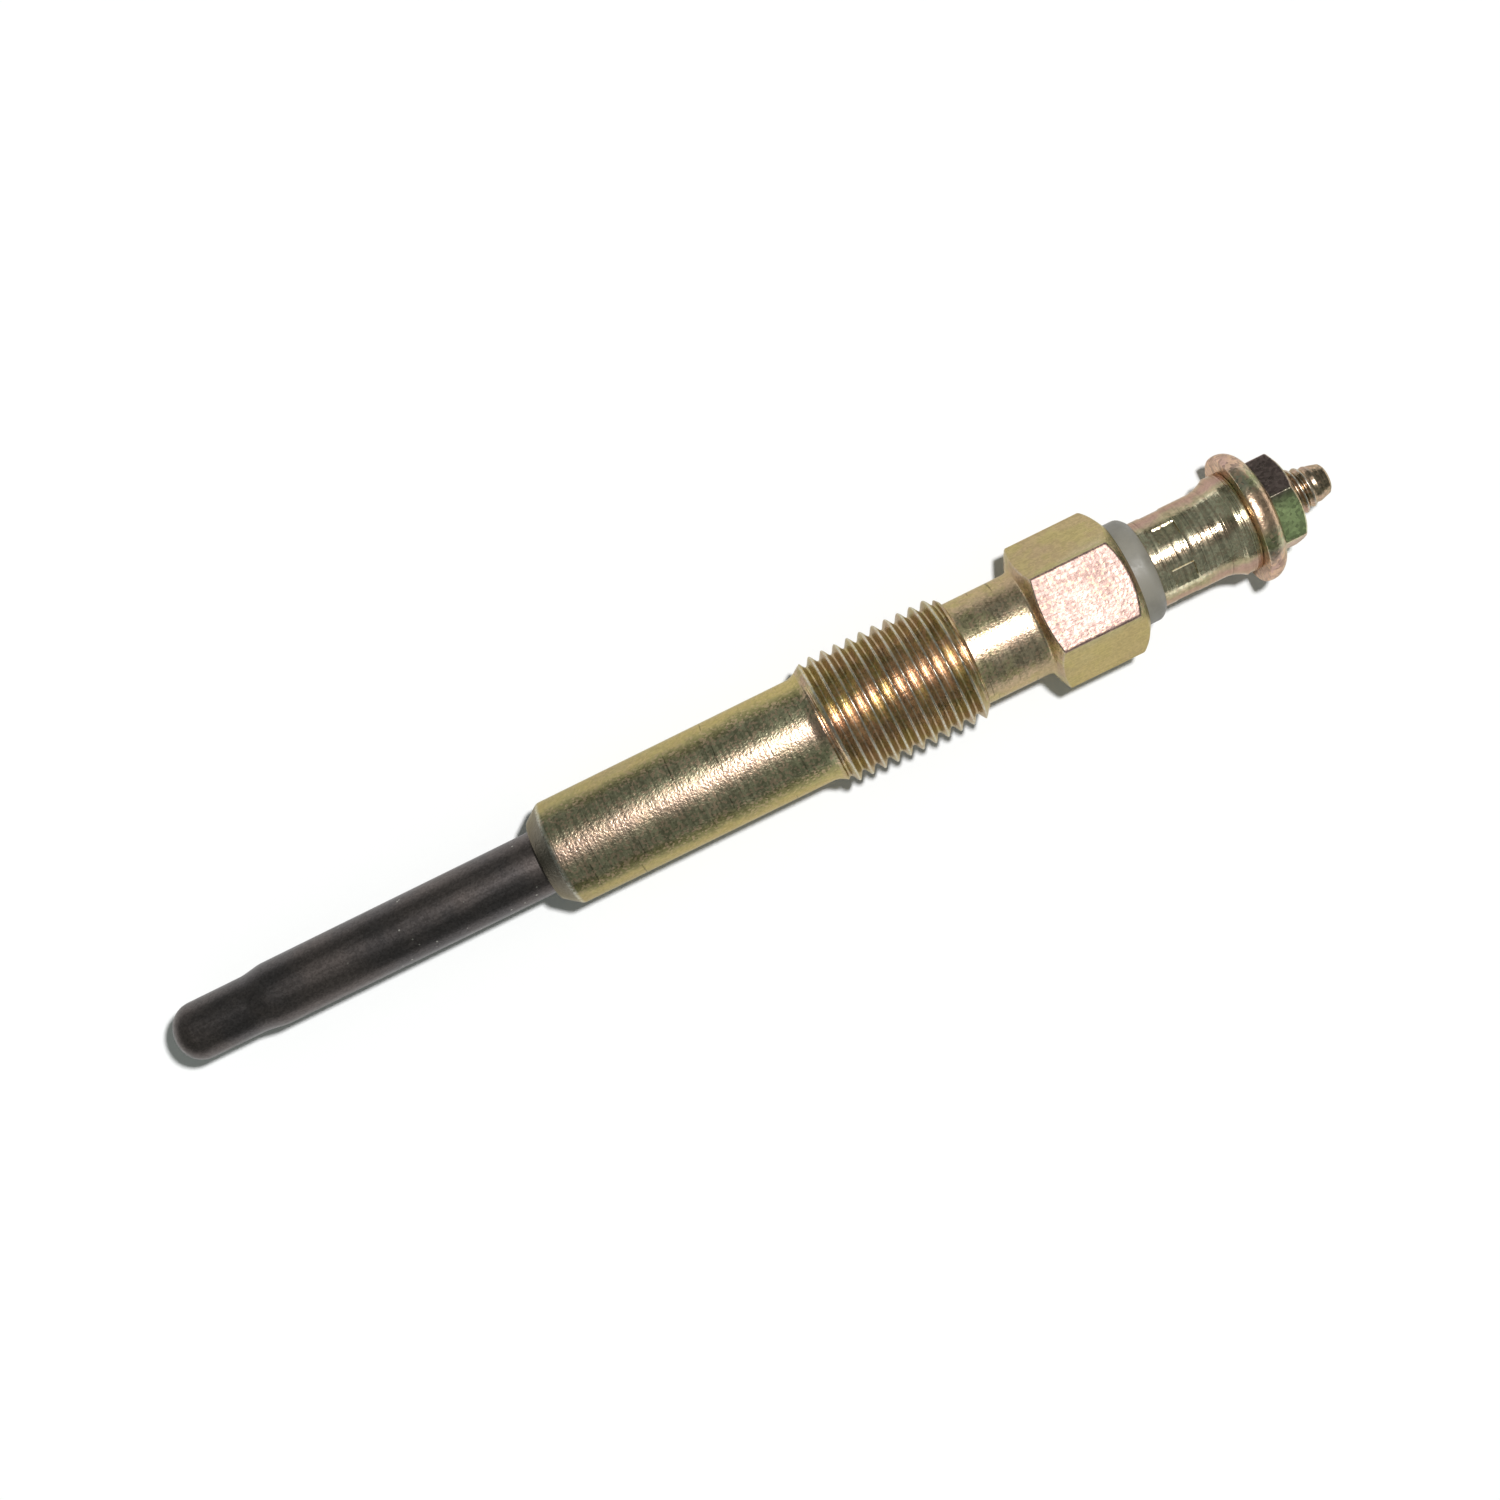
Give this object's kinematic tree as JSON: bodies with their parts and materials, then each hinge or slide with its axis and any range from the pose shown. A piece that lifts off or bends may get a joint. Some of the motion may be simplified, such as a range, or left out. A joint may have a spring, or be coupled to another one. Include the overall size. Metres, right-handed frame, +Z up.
{
  "type": "diesel glow plug",
  "caption": "Sheathed diesel glow plug with heater tip, conical seat, threaded body, hexagon, insulating collar, crimped terminal sleeve and flange nut on a threaded stud.",
  "frame": {"origin": "on the ground under the middle of the part's bounding box, the plug lying on its side", "axes": "+X along the plug's axis toward the terminal stud, +Z up, away from the surface that it lies on"},
  "size_m": [0.1142, 0.0138, 0.0122],
  "materials": {
    "plated_body": "yellow chromate zinc plate",
    "sheath_alloy": "dark oxidised nickel alloy",
    "coil_wire": "bare resistance wire",
    "magnesia": "packed powder",
    "seal_rubber": "matte",
    "plated_rod": "yellow chromate zinc plate",
    "bush_plastic": "matte grey phenolic",
    "plated_sleeve": "yellow chromate zinc plate with turning marks",
    "plated_nut": "iridescent yellow chromate zinc plate"
  },
  "bodies": {
    "root": {"body_shell": "plated_body", "heater_sheath": "sheath_alloy", "heating_coil": "coil_wire", "control_coil": "coil_wire", "insulating_powder": "magnesia", "sheath_seal": "seal_rubber", "centre_rod": "plated_rod", "body_seal_ring": "seal_rubber", "insulating_bush": "bush_plastic", "terminal_sleeve": "plated_sleeve", "terminal_nut": "plated_nut"}
  },
  "joints": []
}
